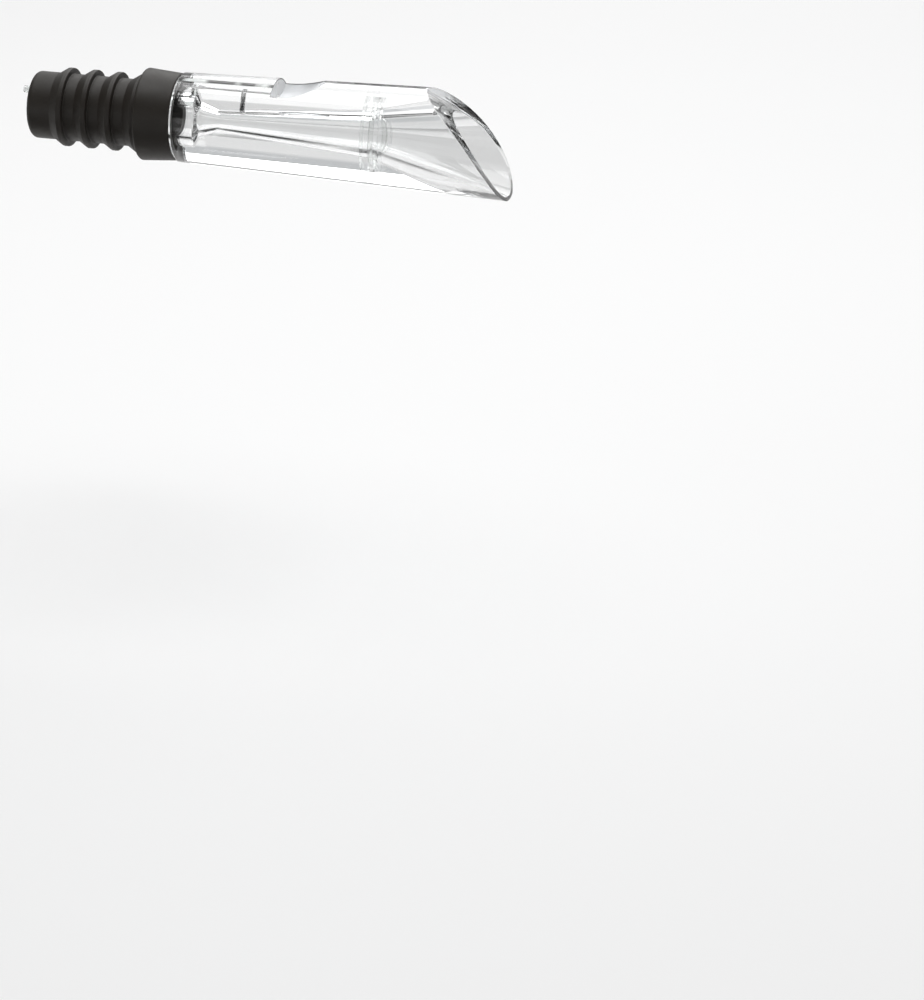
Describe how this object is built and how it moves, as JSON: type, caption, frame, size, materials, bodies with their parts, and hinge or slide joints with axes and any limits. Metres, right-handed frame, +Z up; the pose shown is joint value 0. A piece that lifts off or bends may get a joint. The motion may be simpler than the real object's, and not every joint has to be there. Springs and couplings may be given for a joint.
{
  "type": "wine aerator pourer",
  "caption": "Clear pourer for a wine bottle: ringed rubber stopper, venturi passage with an air scoop and jet, and a flared spout with a raked, rounded mouth.",
  "frame": {"origin": "on the pouring axis, in the plane of the bottle's lip, where the collar's shoulder rests", "axes": "+X along the pouring axis towards the mouth, +Z up with the air scoop on top, +Y across to the left of the pour"},
  "size_m": [0.1226, 0.0256, 0.0255],
  "materials": {
    "stopper_rubber": "matte",
    "clear_acrylic": "polished clear",
    "jet_steel": "drawn",
    "clear_tube": "drawn clear",
    "seal_silicone": "satin translucent"
  },
  "bodies": {
    "stopper": {"stopper": "stopper_rubber"},
    "pourer": {"venturi_body": "clear_acrylic", "channel_plug": "clear_acrylic", "air_jet": "jet_steel", "breather_tube": "clear_tube", "seam_ring": "seal_silicone"},
    "spout": {"pouring_spout": "clear_acrylic"}
  },
  "joints": [
    {"name": "pourer_pull_off", "type": "slide", "parent": "stopper", "child": "pourer", "axis": [1, 0, 0], "range_m": [0, 0.045]},
    {"name": "spout_pull_off", "type": "slide", "parent": "pourer", "child": "spout", "axis": [1, 0, 0], "range_m": [0, 0.012]}
  ]
}
